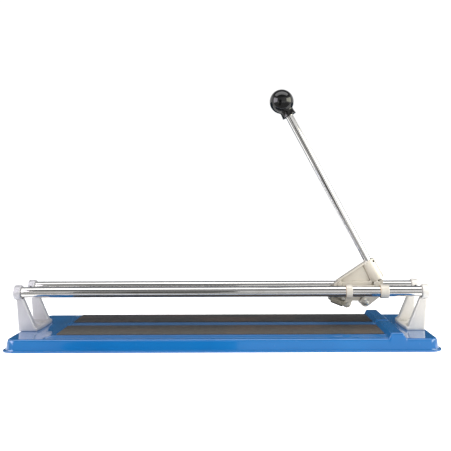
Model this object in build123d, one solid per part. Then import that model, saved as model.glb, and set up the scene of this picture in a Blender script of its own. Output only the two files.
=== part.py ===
from build123d import *
from math import cos, radians, sin
import os

# Rail-type tile cutter. Origin: centre of the base on the bench, +X along the rails
# towards the fence, +Y away from the user, +Z up. Millimetres.

# ---- base ----
base_length = 628.0
base_width = 190.0
flange_corner = 15.0
flange_height = 2.2
wall_length = 620.0
wall_width = 186.0
wall_corner = 16.0
wall_draft = 8.5
deck_edge_round = 4.0
sheet = 1.6
deck_z = 18.0
bed_z = 20.5
bed_left = -242.0
bed_right = 250.0
bed_half_width = 72.0
bed_slope_left = 22.0
bed_slope_right = 12.0
bed_slope_side = 14.0

# ---- fence ridge and breaking rib ----
fence_left = 233.0
fence_right = 265.5
fence_foot_z = 13.5
fence_top_left = 239.5
fence_top_right = 256.5
fence_top_z = 26.0
fence_half_length = 90.8
fence_end_slope = 1.8
notch_width = 9.0
notch_floor_left = 237.9
notch_floor_right = 258.6
notch_floor_z = 22.5
rib_half_foot = 4.5
rib_half_top = 1.4
rib_top_z = 23.0

# ---- tile pads ----
pad_left = -240.0
pad_right = 234.0
pad_inner = 14.0
pad_outer = 71.0
pad_thickness = 1.6
pad_corner = 2.0

# ---- rails and end brackets, placed about the middle of the rails ----
rail_centre_x = -2.5
rail_diameter = 16.0
rail_y = 30.0
rail_z = 76.0
rail_fit = 0.05
rail_end_chamfer = 1.0
ring_inner_x = 301.0
ring_outer_x = 311.4
ring_diameter = 22.0
foot_inner_x = 278.0
foot_bulge_x = 275.5
foot_outer_x = 305.7
foot_half_width = 36.0
foot_thickness = 5.0
leg_foot_width = 12.0
leg_top_inner_x = 298.6
leg_top_outer_x = 308.6
leg_top_width = 10.0
leg_top_z = 67.0
leg_round = 2.0

# ---- bracket fasteners, M6, and rail grub screws, M4 ----
fixing_x = 286.0
fixing_y = 13.0
m6_shank = 6.0
m6_hole = 6.5
m6_nut_flats = 10.0
m6_nut_height = 5.0
m6_washer_diameter = 14.0
m6_washer_height = 1.4
countersink_diameter = 12.0
countersink_depth = 3.0
grub_diameter = 4.0
grub_socket = 2.0

# ---- carriage, at its rest place near the fence ----
left_ring_x = (184.4, 194.0)
right_ring_x = (236.0, 249.0)
carriage_ring_diameter = 21.0
bush_diameter = 18.0
cheek_inner_y = 9.0
cheek_outer_y = 14.0
cheek_bottom_z = 68.0
cheek_top_z = 82.5
bridge_bottom_z = 69.0
bridge_top_z = 81.0
bridge_inset = 1.0
post_left_x = 230.5
post_right_x = 240.0
post_inner_y = 11.8
post_top_z = 88.5
stop_left_x = 240.5
stop_half_width = 5.0
stop_top_z = 90.0

# ---- lever pivot ----
pivot_x = 218.0
pivot_z = 57.0
lug_radius = 7.6
lug_root_centre = 12.5
lug_root_width = 17.0
pivot_head_diameter = 11.0
pivot_head_height = 3.4
hub_radius = 7.2
hub_front_y = -8.1
hub_rear_y = 2.0
pivot_clearance = 0.05
thrust_washer_height = 0.6
spring_wire = 1.4
spring_radius = 5.2
spring_front_y = 3.4
spring_rear_y = 8.0
spring_pitch = 1.6
spring_space_radius = 8.6

# ---- lever casting ----
web_tip = (167.5, 84.0)
web_top = (218.5, 118.0)
web_corner = (232.0, 85.0)
plate_half = 6.5
web_core_half = 2.4
web_rim = 3.0
web_round = 3.0
tip_boss = (179.6, 83.0)
tip_boss_radius = 3.4
tip_boss_half = 8.6
socket_diameter = 20.0
socket_end_diameter = 22.5
socket_length = 33.0

# ---- handle ----
ball_diameter = 37.0
ball_x = 90.0
ball_z = 364.8
handle_lean = 28.45
socket_distance = 279.0
rod_diameter = 12.0
rod_into_socket = 30.0
rod_into_ball = 21.0
collar_end = 25.0
collar_end_diameter = 23.0
collar_neck_diameter = 19.0
collar_neck = 13.5
clamp_screw_diameter = 4.0
clamp_screw_drop = 4.0
clamp_screw_azimuth = 45.0

# ---- scoring wheel ----
wheel_x = 191.5
wheel_z = 52.1
wheel_diameter = 13.0
wheel_half_width = 1.5
wheel_bevel_radius = 4.7
axle_diameter = 4.0
axle_clearance = 0.05
fork_radius = 5.2
fork_slot_half = 2.2
fork_slot_radius = 7.6
axle_head_diameter = 7.0
axle_head_height = 2.2
axle_nut_flats = 7.0
axle_nut_height = 3.0

# ---- breaker foot, in a frame at its pin, tilted with the foot ----
foot_pin_x = 184.0
foot_pin_z = 61.5
foot_pin_diameter = 4.0
foot_tilt = 22.0
wing_left = -19.0
wing_right = 4.0
wing_top = -2.8
wing_bottom = -10.0
wing_inner_y = 7.6
wing_outer_y = 19.0
wing_round = 2.4
wing_side_round = 2.0
foot_bar_right = -12.0
foot_bar_bottom = -8.0
ear_outer_y = 10.6
ear_radius = 4.0
pin_head_diameter = 5.4
pin_head_height = 0.8
side_gap = 0.3
foot_pad_thickness = 1.5
foot_pad_margin = 2.0


# ---- helpers ----
def block(x0, x1, y0, y1, z0, z1):
    """Box between two corners."""
    centre = ((x0 + x1) / 2, (y0 + y1) / 2, (z0 + z1) / 2)
    return Pos(*centre) * Box(x1 - x0, y1 - y0, z1 - z0)


def frustum(low, low_z, high, high_z):
    """Straight-sided form between two rectangles, each given as x0, x1, y0, y1."""
    faces = []
    for (x0, x1, y0, y1), z in ((low, low_z), (high, high_z)):
        spot = Pos((x0 + x1) / 2, (y0 + y1) / 2, z)
        faces.append(spot * Rectangle(x1 - x0, y1 - y0))
    return loft(faces, ruled=True)


def x_cylinder(x0, x1, y, z, diameter):
    """Cylinder along X."""
    return Pos((x0 + x1) / 2, y, z) * Rot(0, 90, 0) * Cylinder(diameter / 2, x1 - x0)


def y_cylinder(x, z, y0, y1, diameter):
    """Cylinder along Y."""
    return Pos(x, (y0 + y1) / 2, z) * Rot(90, 0, 0) * Cylinder(diameter / 2, y1 - y0)


def side_plate(outline, y0, y1):
    """Plate standing in the XZ plane from y0 to y1. The outline is a face drawn in x and z."""
    standing = Plane(origin=(0, y1, 0), x_dir=(1, 0, 0), z_dir=(0, -1, 0))
    return extrude(standing * outline, amount=y1 - y0)


def hex_prism(flats, height):
    """Hexagon nut blank on the XY plane."""
    return extrude(RegularPolygon(flats / 2, 6, major_radius=False), amount=height)


def centred(piece):
    """A piece of the rail assembly, drawn about the middle of the rails, in its place."""
    return Pos(rail_centre_x, 0, 0) * piece


def both_ends(piece):
    """The piece and its mirror image at the other end of the rails."""
    return [piece, mirror(piece, about=Plane.YZ)]


def both_sides(piece):
    """The piece and its mirror image across the centre plane."""
    return [piece, mirror(piece, about=Plane.XZ)]


def along(centre, direction, distance=0.0):
    """Plane across a direction, at a distance from a centre."""
    unit = Vector(*direction).normalized()
    origin = Vector(*centre) + unit * distance
    return Plane(origin=origin, x_dir=(0, 1, 0), z_dir=unit)


# ---- base ----
def pressed_form(inset):
    """Solid form of the pressing, drawn in by an inset for the underside."""
    outline = RectangleRounded(wall_length - 2 * inset, wall_width - 2 * inset, wall_corner - inset)
    wall = extrude(outline, amount=deck_z - inset, taper=wall_draft)
    top_edges = wall.faces().sort_by(Axis.Z)[-1].edges()
    form = fillet(top_edges, deck_edge_round - inset / 2)
    bed_low = (
        bed_left - bed_slope_left,
        bed_right + bed_slope_right,
        -bed_half_width - bed_slope_side,
        bed_half_width + bed_slope_side,
    )
    bed_high = (bed_left, bed_right, -bed_half_width, bed_half_width)
    drop = inset
    form += frustum(bed_low, deck_z - drop, bed_high, bed_z - drop)
    fence_low = (fence_left + inset, fence_right - inset, inset - fence_half_length, fence_half_length - inset)
    fence_high = (
        fence_top_left + inset / 2,
        fence_top_right - inset / 2,
        fence_end_slope - fence_half_length + inset,
        fence_half_length - fence_end_slope - inset,
    )
    form += frustum(fence_low, fence_foot_z - drop, fence_high, fence_top_z - drop)
    return form


def base_plate():
    flange = extrude(RectangleRounded(base_length, base_width, flange_corner), amount=flange_height)
    flange = fillet(flange.faces().sort_by(Axis.Z)[-1].edges(), flange_height * 0.45)
    body = pressed_form(0) + flange
    rib_low = (pad_left, fence_top_left, -rib_half_foot, rib_half_foot)
    rib_high = (pad_left + rib_half_foot, fence_top_left, -rib_half_top, rib_half_top)
    body += frustum(rib_low, bed_z - 0.5, rib_high, rib_top_z)
    body -= pressed_form(sheet)
    body -= block(
        fence_left - 1, fence_right + 1, -notch_width / 2, notch_width / 2, notch_floor_z, fence_top_z + 1
    )
    body += block(
        notch_floor_left, notch_floor_right, -notch_width / 2, notch_width / 2, bed_z - 0.2, notch_floor_z
    )
    for x in (rail_centre_x - fixing_x, rail_centre_x + fixing_x):
        for y in (-fixing_y, fixing_y):
            body -= Pos(x, y, deck_z) * Cylinder(m6_hole / 2, 3 * sheet)
    return body


def tile_pad(side):
    outline = RectangleRounded(pad_right - pad_left, pad_outer - pad_inner, pad_corner)
    centre_y = side * (pad_inner + pad_outer) / 2
    pad = Pos((pad_left + pad_right) / 2, centre_y, bed_z) * extrude(outline, amount=pad_thickness)
    return chamfer(pad.faces().sort_by(Axis.Z)[-1].edges(), 0.4)


# ---- end brackets and rails ----
def right_bracket():
    edge = Polyline(
        (foot_inner_x, -foot_half_width),
        (foot_outer_x, -foot_half_width),
        (foot_outer_x, foot_half_width),
        (foot_inner_x, foot_half_width),
    )
    bulge = ThreePointArc(
        (foot_inner_x, foot_half_width), (foot_bulge_x, 0), (foot_inner_x, -foot_half_width)
    )
    foot = extrude(make_face(Plane.XY * (edge + bulge)), amount=foot_thickness)
    foot = fillet(foot.edges().filter_by(Axis.Z), leg_round)
    foot = fillet(foot.faces().sort_by(Axis.Z)[-1].edges(), leg_round / 2)
    bracket = Pos(0, 0, deck_z) * foot
    for y in (-rail_y, rail_y):
        low = (foot_inner_x + 1, foot_outer_x, y - leg_foot_width / 2, y + leg_foot_width / 2)
        high = (leg_top_inner_x, leg_top_outer_x, y - leg_top_width / 2, y + leg_top_width / 2)
        leg = frustum(low, deck_z, high, leg_top_z)
        upright_edges = leg.edges().filter_by(lambda e: abs(e.tangent_at(0.5).Z) > 0.5)
        bracket += fillet(upright_edges, leg_round)
    for y in (-rail_y, rail_y):
        ring = x_cylinder(ring_inner_x, ring_outer_x, y, rail_z, ring_diameter)
        bracket += fillet(ring.edges().filter_by(GeomType.CIRCLE), 0.9)
        bracket -= x_cylinder(ring_inner_x - 9, ring_outer_x + 1, y, rail_z, rail_diameter + 2 * rail_fit)
        inward = -1 if y > 0 else 1
        hole_end = y + inward * ring_diameter / 2
        span = sorted((y, hole_end + inward))
        bracket -= y_cylinder((ring_inner_x + ring_outer_x) / 2, rail_z, span[0], span[1], grub_diameter)
    for y in (-fixing_y, fixing_y):
        bracket -= Pos(fixing_x, y, deck_z + foot_thickness / 2) * Cylinder(m6_hole / 2, foot_thickness + 1)
        sink = Cone(m6_hole / 2, countersink_diameter / 2, countersink_depth)
        bracket -= Pos(fixing_x, y, deck_z + foot_thickness - countersink_depth / 2) * sink
    return bracket


def rail(side):
    bar = x_cylinder(-ring_outer_x, ring_outer_x, side * rail_y, rail_z, rail_diameter)
    return centred(chamfer(bar.edges().filter_by(GeomType.CIRCLE), rail_end_chamfer))


def rail_set_screws():
    length = (ring_diameter - rail_diameter) / 2 - rail_fit
    screws = []
    for side in (-1, 1):
        outer = side * (rail_y - ring_diameter / 2)
        inner = side * (rail_y - ring_diameter / 2 + length)
        y0, y1 = sorted((outer, inner))
        x = (ring_inner_x + ring_outer_x) / 2
        screw = y_cylinder(x, rail_z, y0, y1, grub_diameter)
        socket = Plane(origin=(x, outer, rail_z), x_dir=(1, 0, 0), z_dir=(0, side, 0))
        screw -= extrude(socket * RegularPolygon(grub_socket / 2, 6, major_radius=False), amount=length / 2)
        screws += [centred(piece) for piece in both_ends(screw)]
    return Compound(children=screws)


def bracket_fasteners():
    """Screws, washers and nuts of the four bracket fixings."""
    head_top = deck_z + foot_thickness
    under_deck = deck_z - sheet
    nut_top = under_deck - m6_washer_height
    shank_end = nut_top - m6_nut_height - 1.5
    screws = []
    washers = []
    nuts = []
    for x in (rail_centre_x - fixing_x, rail_centre_x + fixing_x):
        for y in (-fixing_y, fixing_y):
            head = Cone(m6_shank / 2, countersink_diameter / 2 - 0.3, countersink_depth)
            screw = Pos(x, y, head_top - countersink_depth / 2) * head
            shank_length = head_top - countersink_depth - shank_end
            screw += Pos(x, y, shank_end + shank_length / 2) * Cylinder(m6_shank / 2, shank_length)
            for turn in (0, 90):
                cross = Pos(x, y, head_top) * Rot(0, 0, turn + 20) * Box(5.5, 1.1, 3.0)
                screw -= cross
            screws.append(screw)
            washer = Cylinder(m6_washer_diameter / 2, m6_washer_height) - Cylinder(m6_hole / 2, 5)
            washers.append(Pos(x, y, under_deck - m6_washer_height / 2) * washer)
            nut = hex_prism(m6_nut_flats, m6_nut_height) - Cylinder(m6_shank / 2, 4 * m6_nut_height)
            nuts.append(Pos(x, y, nut_top - m6_nut_height) * nut)
    return Compound(children=screws), Compound(children=washers), Compound(children=nuts)


# ---- carriage ----
def cheek_outline():
    bar = make_face(
        Polyline(
            (left_ring_x[0] + bridge_inset, cheek_bottom_z),
            (left_ring_x[0] + bridge_inset, cheek_top_z - 3),
            (left_ring_x[0] + bridge_inset + 3, cheek_top_z),
            (right_ring_x[1] - bridge_inset, cheek_top_z),
            (right_ring_x[1] - bridge_inset, cheek_bottom_z - 2),
            (right_ring_x[0], cheek_bottom_z - 3),
            close=True,
        )
    )
    end = Pos(pivot_x, pivot_z) * Circle(lug_radius)
    root = Pos(pivot_x + lug_root_centre, cheek_bottom_z) * Rectangle(lug_root_width, 8)
    lug = make_hull(end.edges() + root.edges())
    return bar + lug


def carriage_body():
    body = side_plate(cheek_outline(), cheek_inner_y, cheek_outer_y)
    body += side_plate(cheek_outline(), -cheek_outer_y, -cheek_inner_y)
    for x0, x1 in (left_ring_x, right_ring_x):
        for y in (-rail_y, rail_y):
            ring = x_cylinder(x0, x1, y, rail_z, carriage_ring_diameter)
            body += fillet(ring.edges().filter_by(GeomType.CIRCLE), 0.8)
    web_x0 = left_ring_x[0] + bridge_inset
    web_x1 = left_ring_x[1] - bridge_inset
    for side in (-1, 1):
        y0, y1 = sorted((side * (cheek_outer_y - 1), side * (rail_y - 5)))
        body += block(web_x0, web_x1, y0, y1, bridge_bottom_z, bridge_top_z)
        y0, y1 = sorted((side * post_inner_y, side * cheek_outer_y))
        post = block(post_left_x, post_right_x, y0, y1, cheek_top_z - 1, post_top_z)
        body += fillet(post.faces().sort_by(Axis.Z)[-1].edges(), 0.9)
    bridge_x0 = right_ring_x[0] + bridge_inset
    bridge_x1 = right_ring_x[1] - bridge_inset
    bridge_y = rail_y - 5
    body += block(bridge_x0, bridge_x1, -bridge_y, bridge_y, bridge_bottom_z, bridge_top_z)
    body += block(stop_left_x, bridge_x1 - 1, -stop_half_width, stop_half_width, bridge_top_z - 1, stop_top_z)
    for x0, x1 in (left_ring_x, right_ring_x):
        for y in (-rail_y, rail_y):
            body -= x_cylinder(x0 - 1, x1 + 1, y, rail_z, bush_diameter)
    body -= y_cylinder(pivot_x, pivot_z, -cheek_outer_y - 1, cheek_outer_y + 1, m6_shank)
    return body


def rail_bushes(x_range):
    x0, x1 = x_range
    bush = x_cylinder(x0, x1, rail_y, rail_z, bush_diameter)
    bush -= x_cylinder(x0 - 1, x1 + 1, rail_y, rail_z, rail_diameter + 2 * rail_fit)
    return Compound(children=both_sides(bush))


def pivot_bolt():
    shank_end = cheek_outer_y + m6_nut_height + 1.5
    bolt = y_cylinder(pivot_x, pivot_z, -cheek_outer_y, shank_end, m6_shank)
    head = y_cylinder(
        pivot_x, pivot_z, -cheek_outer_y - pivot_head_height, -cheek_outer_y, pivot_head_diameter
    )
    dome_edge = head.faces().sort_by(Axis.Y)[0].edges()
    return bolt + fillet(dome_edge, pivot_head_height * 0.85)


def pivot_nut():
    rear = Plane(origin=(pivot_x, cheek_outer_y, pivot_z), x_dir=(1, 0, 0), z_dir=(0, 1, 0))
    nut = extrude(rear * RegularPolygon(m6_nut_flats / 2, 6, major_radius=False), amount=m6_nut_height)
    return nut - y_cylinder(pivot_x, pivot_z, 0, cheek_outer_y + 2 * m6_nut_height, m6_shank)


def thrust_washers():
    washer = y_cylinder(
        pivot_x, pivot_z, cheek_inner_y - thrust_washer_height / 2, cheek_inner_y, 2 * hub_radius - 2
    )
    washer -= y_cylinder(pivot_x, pivot_z, 0, 2 * cheek_inner_y, m6_shank)
    return Compound(children=both_sides(washer))


def return_spring():
    height = spring_rear_y - spring_front_y
    coil_path = Helix(spring_pitch, height, spring_radius)
    section = Plane(origin=coil_path @ 0, z_dir=coil_path % 0) * Circle(spring_wire / 2)
    coil = sweep(section, path=coil_path, is_frenet=True)
    lying = Plane(origin=(pivot_x, spring_rear_y, pivot_z), x_dir=(0, 0, -1), z_dir=(0, -1, 0))
    arm_start = coil_path @ 1
    arm_direction = coil_path % 1
    arm_plane = Plane(origin=arm_start, z_dir=(arm_direction.X, arm_direction.Y, 0))
    arm = extrude(arm_plane * Circle(spring_wire / 2), amount=7.5)
    joint = Pos(arm_start) * Sphere(spring_wire / 2)
    return lying * (coil + joint + arm)


# ---- lever ----
lean = radians(handle_lean)
handle_direction = (sin(lean), 0, -cos(lean))
ball_centre = (ball_x, 0, ball_z)


def web_outline():
    triangle = make_face(Polyline(web_tip, web_top, web_corner, close=True))
    return fillet(triangle.vertices(), web_round)


def lower_outline():
    neck = make_face(
        Polyline(
            (web_tip[0] + 5.0, web_tip[1] + 2.2),
            (web_tip[0] + 3.5, web_tip[1] - 0.5),
            (web_tip[0] + 4.5, web_tip[1] - 7.0),
            (foot_pin_x - 7.5, rail_z - 5),
            (foot_pin_x - 4.5, foot_pin_z),
            (wheel_x - fork_radius, wheel_z),
            (wheel_x + fork_radius, wheel_z),
            (wheel_x + fork_radius + 2, pivot_z + 0.5),
            (pivot_x, pivot_z + 0.5),
            (pivot_x + hub_radius, pivot_z),
            (web_corner[0] - 2.5, web_corner[1] + 1.0),
            close=True,
        )
    )
    nose = Pos(wheel_x, wheel_z) * Circle(fork_radius)
    return neck + nose


def lever_casting():
    body = side_plate(web_outline(), -plate_half, plate_half)
    body += side_plate(lower_outline(), -plate_half, plate_half)
    socket_plane = along(ball_centre, handle_direction, socket_distance)
    socket_end = along(ball_centre, handle_direction, socket_distance + socket_length)
    socket = loft([socket_plane * Circle(socket_diameter / 2), socket_end * Circle(socket_end_diameter / 2)])
    pocket = offset(make_face(Polyline(web_tip, web_top, web_corner, close=True)), amount=-web_rim)
    pocket = fillet(pocket.vertices(), web_round * 0.6)
    body -= side_plate(pocket, -plate_half - 1, -web_core_half)
    body -= side_plate(pocket, web_core_half, plate_half + 1)
    body += fillet(socket.edges().filter_by(GeomType.CIRCLE), 1.0)
    body += y_cylinder(tip_boss[0], tip_boss[1], -tip_boss_half, tip_boss_half, 2 * tip_boss_radius)
    body += y_cylinder(pivot_x, pivot_z, hub_front_y, hub_rear_y, 2 * hub_radius)
    body -= y_cylinder(pivot_x, pivot_z, hub_rear_y, plate_half + 2, 2 * spring_space_radius)
    body -= y_cylinder(
        pivot_x, pivot_z, hub_front_y - 1, hub_rear_y + 1, m6_shank + 2 * pivot_clearance
    )
    body -= y_cylinder(wheel_x, wheel_z, -fork_slot_half, fork_slot_half, 2 * fork_slot_radius)
    body -= y_cylinder(wheel_x, wheel_z, -plate_half - 1, plate_half + 1, axle_diameter)
    body -= y_cylinder(foot_pin_x, foot_pin_z, -plate_half - 1, plate_half + 1, foot_pin_diameter)
    rod_way = along(ball_centre, handle_direction, socket_distance - rod_diameter)
    body -= extrude(rod_way * Circle(rod_diameter / 2), amount=rod_into_socket + rod_diameter)
    clamp = clamp_plane()
    body -= extrude(clamp * Circle(clamp_screw_diameter / 2), amount=-(socket_diameter - rod_diameter) / 2 - 1)
    return body


def clamp_plane():
    """Plane on the socket's skin, facing out along the clamp screw."""
    turn = radians(clamp_screw_azimuth)
    across = (cos(lean) * cos(turn), -sin(turn), sin(lean) * cos(turn))
    centre = Vector(*ball_centre) + Vector(*handle_direction) * (socket_distance + clamp_screw_drop)
    skin = centre + Vector(*across) * (socket_diameter / 2)
    return Plane(origin=skin, x_dir=handle_direction, z_dir=across)


def handle_rod():
    start = along(ball_centre, handle_direction, collar_end - rod_into_ball)
    length = socket_distance + rod_into_socket - collar_end + rod_into_ball
    rod = extrude(start * Circle(rod_diameter / 2), amount=length)
    return chamfer(rod.edges().filter_by(GeomType.CIRCLE), 0.8)


def ball_knob():
    ball = Pos(*ball_centre) * Sphere(ball_diameter / 2)
    neck = along(ball_centre, handle_direction, collar_neck) * Circle(collar_neck_diameter / 2)
    mouth = along(ball_centre, handle_direction, collar_end) * Circle(collar_end_diameter / 2)
    knob = ball + loft([neck, mouth])
    hole = along(ball_centre, handle_direction, collar_end - rod_into_ball)
    return knob - extrude(hole * Circle(rod_diameter / 2), amount=rod_into_ball + 1)


def handle_set_screw():
    length = (socket_diameter - rod_diameter) / 2
    screw = extrude(clamp_plane() * Circle(clamp_screw_diameter / 2), amount=-length)
    rod_space = along(ball_centre, handle_direction, socket_distance) * Circle(rod_diameter / 2)
    screw -= extrude(rod_space, amount=rod_into_socket)
    recess = extrude(clamp_plane() * RegularPolygon(1.3, 6, major_radius=False), amount=-2)
    return screw - recess


def wheel_axle():
    axle = y_cylinder(wheel_x, wheel_z, -plate_half, plate_half + axle_nut_height + 0.8, axle_diameter)
    head = y_cylinder(
        wheel_x, wheel_z, -plate_half - axle_head_height, -plate_half, axle_head_diameter
    )
    slot = block(
        wheel_x - axle_head_diameter,
        wheel_x + axle_head_diameter,
        -plate_half - axle_head_height - 1,
        -plate_half - axle_head_height * 0.55,
        wheel_z - 0.5,
        wheel_z + 0.5,
    )
    head = fillet(head.faces().sort_by(Axis.Y)[0].edges(), axle_head_height * 0.6)
    return axle + head - slot


def wheel_axle_nut():
    rear = Plane(origin=(wheel_x, plate_half, wheel_z), x_dir=(1, 0, 0), z_dir=(0, 1, 0))
    nut = extrude(rear * RegularPolygon(axle_nut_flats / 2, 6, major_radius=False), amount=axle_nut_height)
    return nut - y_cylinder(wheel_x, wheel_z, 0, plate_half + 2 * axle_nut_height, axle_diameter)


def cutting_wheel():
    radius = wheel_diameter / 2
    half = wheel_half_width
    bore = axle_diameter / 2 + axle_clearance
    outline = Polyline(
        (bore, -half), (wheel_bevel_radius, -half), (radius, 0), (wheel_bevel_radius, half), (bore, half),
        close=True,
    )
    disc = revolve(make_face(Plane.XY * outline), axis=Axis.Y)
    return Pos(wheel_x, 0, wheel_z) * disc


# ---- breaker foot ----
def foot_frame():
    tilt = radians(foot_tilt)
    return Plane(
        origin=(foot_pin_x, 0, foot_pin_z), x_dir=(cos(tilt), 0, -sin(tilt)), z_dir=(sin(tilt), 0, cos(tilt))
    )


def breaker_foot():
    body = block(wing_left, foot_bar_right, -wing_outer_y, wing_outer_y, foot_bar_bottom, wing_top)
    body = fillet(body.edges().filter_by(Axis.Y), 1.6)
    for side in (-1, 1):
        y0, y1 = sorted((side * wing_inner_y, side * wing_outer_y))
        wing = block(wing_left, wing_right, y0, y1, wing_bottom, wing_top)
        wing = fillet(wing.edges().filter_by(Axis.Y), wing_round)
        outer_edges = wing.faces().sort_by(Axis.Y)[0 if side < 0 else -1].edges()
        body += fillet(outer_edges, wing_side_round)
        eye = Circle(ear_radius)
        root = Pos(-4, wing_top - 1) * Rectangle(13, 1)
        ear = make_hull(eye.edges() + root.edges())
        y0, y1 = sorted((side * wing_inner_y, side * ear_outer_y))
        body += side_plate(ear, y0, y1)
    bore = foot_pin_diameter + 2 * axle_clearance
    body -= y_cylinder(0, 0, -wing_outer_y, wing_outer_y, bore)
    return foot_frame() * body


def foot_pads():
    x0 = wing_left + wing_round
    x1 = wing_right - wing_round
    y0 = wing_inner_y + foot_pad_margin / 2
    y1 = wing_outer_y - foot_pad_margin
    pad = block(x0, x1, y0, y1, wing_bottom - foot_pad_thickness, wing_bottom)
    pad = fillet(pad.faces().sort_by(Axis.Z)[0].edges(), 0.6)
    return Compound(children=[foot_frame() * piece for piece in both_sides(pad)])


def foot_pin():
    head_inner = ear_outer_y + side_gap
    head_outer = head_inner + pin_head_height
    pin = y_cylinder(foot_pin_x, foot_pin_z, -head_outer, head_outer, foot_pin_diameter)
    pin += y_cylinder(foot_pin_x, foot_pin_z, head_inner, head_outer, pin_head_diameter)
    pin += y_cylinder(foot_pin_x, foot_pin_z, -head_outer, -head_inner, pin_head_diameter)
    return pin


# ---- every node, one STEP file each ----
screws, washers, nuts = bracket_fasteners()
right_end = right_bracket()
left_end = mirror(right_end, about=Plane.YZ)
nodes = {
    "base_plate": base_plate(),
    "front_pad": tile_pad(-1),
    "rear_pad": tile_pad(1),
    "left_bracket": centred(left_end),
    "right_bracket": centred(right_end),
    "front_rail": rail(-1),
    "rear_rail": rail(1),
    "rail_set_screws": rail_set_screws(),
    "bracket_screws": screws,
    "bracket_washers": washers,
    "bracket_nuts": nuts,
    "carriage_body": carriage_body(),
    "left_rail_bushes": rail_bushes(left_ring_x),
    "right_rail_bushes": rail_bushes(right_ring_x),
    "pivot_bolt": pivot_bolt(),
    "pivot_nut": pivot_nut(),
    "thrust_washers": thrust_washers(),
    "return_spring": return_spring(),
    "lever_casting": lever_casting(),
    "handle_rod": handle_rod(),
    "ball_knob": ball_knob(),
    "handle_set_screw": handle_set_screw(),
    "wheel_axle": wheel_axle(),
    "wheel_axle_nut": wheel_axle_nut(),
    "foot_pin": foot_pin(),
    "cutting_wheel": cutting_wheel(),
    "breaker_foot": breaker_foot(),
    "foot_pads": foot_pads(),
}

os.makedirs("parts", exist_ok=True)
for name, shape in nodes.items():
    export_step(shape, f"parts/{name}.step")
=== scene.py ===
import math

import bmesh
import bpy
from mathutils import Matrix, Vector


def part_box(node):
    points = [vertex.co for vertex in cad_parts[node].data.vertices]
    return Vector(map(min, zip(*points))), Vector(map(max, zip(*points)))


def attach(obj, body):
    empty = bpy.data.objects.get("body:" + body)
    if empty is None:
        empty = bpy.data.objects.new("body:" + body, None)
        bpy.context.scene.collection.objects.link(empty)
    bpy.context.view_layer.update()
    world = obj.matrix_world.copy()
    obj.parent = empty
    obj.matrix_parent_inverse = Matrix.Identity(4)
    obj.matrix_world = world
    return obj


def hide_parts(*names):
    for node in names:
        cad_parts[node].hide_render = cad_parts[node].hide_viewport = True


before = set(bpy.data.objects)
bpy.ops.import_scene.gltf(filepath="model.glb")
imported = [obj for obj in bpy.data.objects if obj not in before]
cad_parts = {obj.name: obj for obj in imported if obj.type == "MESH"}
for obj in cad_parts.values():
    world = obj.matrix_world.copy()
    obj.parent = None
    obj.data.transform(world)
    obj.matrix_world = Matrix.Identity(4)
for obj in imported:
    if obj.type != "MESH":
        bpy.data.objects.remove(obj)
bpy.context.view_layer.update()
MM = 0.001
ALONG_X = (1, 0, 0)
ALONG_Y = (0, 1, 0)
ALONG_Z = (0, 0, 1)
scene = bpy.context.scene


# ---------------------------------------------------------------- camera
def make_camera():
    """Front view, slightly above the rails, as the photograph has it."""
    place = Vector((0.0365, -0.9184, 0.2169))
    yaw = math.radians(-0.06)
    pitch = math.radians(2.64)
    roll = math.radians(-0.2)
    ahead = Vector(
        (math.sin(yaw) * math.cos(pitch), math.cos(yaw) * math.cos(pitch), -math.sin(pitch))
    )
    level = Vector((math.cos(yaw), -math.sin(yaw), 0))
    above = level.cross(ahead)
    right = math.cos(roll) * level + math.sin(roll) * above
    up = -math.sin(roll) * level + math.cos(roll) * above
    data = bpy.data.cameras.new("camera")
    data.lens = 47.3
    data.sensor_width = 36
    data.shift_x = -0.0469
    data.clip_start = 0.01
    camera = bpy.data.objects.new("camera", data)
    scene.collection.objects.link(camera)
    turn = Matrix((right, up, -ahead)).transposed().to_4x4()
    camera.matrix_world = Matrix.Translation(place) @ turn
    scene.camera = camera


make_camera()


# ---------------------------------------------------------------- shader nodes
def put(tree, socket, value):
    """Links an output to a socket, or sets a plain value or colour on it."""
    if isinstance(value, bpy.types.NodeSocket):
        tree.links.new(value, socket)
    elif isinstance(value, tuple):
        socket.default_value = (*value, 1)
    else:
        socket.default_value = value


def map_range(tree, value, from_low, from_high, to_low, to_high):
    """The value carried from one range to another, held at both ends."""
    span = tree.nodes.new("ShaderNodeMapRange")
    limits = {"From Min": from_low, "From Max": from_high, "To Min": to_low, "To Max": to_high}
    for socket, limit in limits.items():
        put(tree, span.inputs[socket], limit)
    put(tree, span.inputs["Value"], value)
    return span.outputs["Result"]


def colour_ramp(tree, value, low, high, low_colour, high_colour):
    """From one colour to another as the value goes from low to high."""
    ramp = tree.nodes.new("ShaderNodeValToRGB")
    stops = ramp.color_ramp.elements
    stops[0].position = low
    stops[0].color = (*low_colour, 1)
    stops[1].position = high
    stops[1].color = (*high_colour, 1)
    put(tree, ramp.inputs["Fac"], value)
    return ramp.outputs["Color"]


def mix_colours(tree, factor, a, b, kind="MIX"):
    """Colour a blended with colour b by the factor."""
    mix = tree.nodes.new("ShaderNodeMix")
    mix.data_type = "RGBA"
    mix.blend_type = kind
    for socket, value in (("Factor", factor), ("A", a), ("B", b)):
        put(tree, mix.inputs[socket], value)
    return mix.outputs["Result"]


# ---------------------------------------------------------------- stage and light
def area_light(name, place, aim, size, power, colour):
    """Soft lamp that no reflection shows. The cards stand for the lamps there."""
    data = bpy.data.lights.new(name, "AREA")
    data.shape = "RECTANGLE"
    data.size, data.size_y = size
    data.energy = power
    data.color = colour
    lamp = bpy.data.objects.new(name, data)
    scene.collection.objects.link(lamp)
    lamp.location = place
    lamp.rotation_euler = (Vector(aim) - Vector(place)).to_track_quat("-Z", "Y").to_euler()
    lamp.visible_glossy = False


def level_sheet(left, right, near, far, height):
    """Corners of a level rectangle."""
    return [(left, near, height), (right, near, height), (right, far, height), (left, far, height)]


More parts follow.
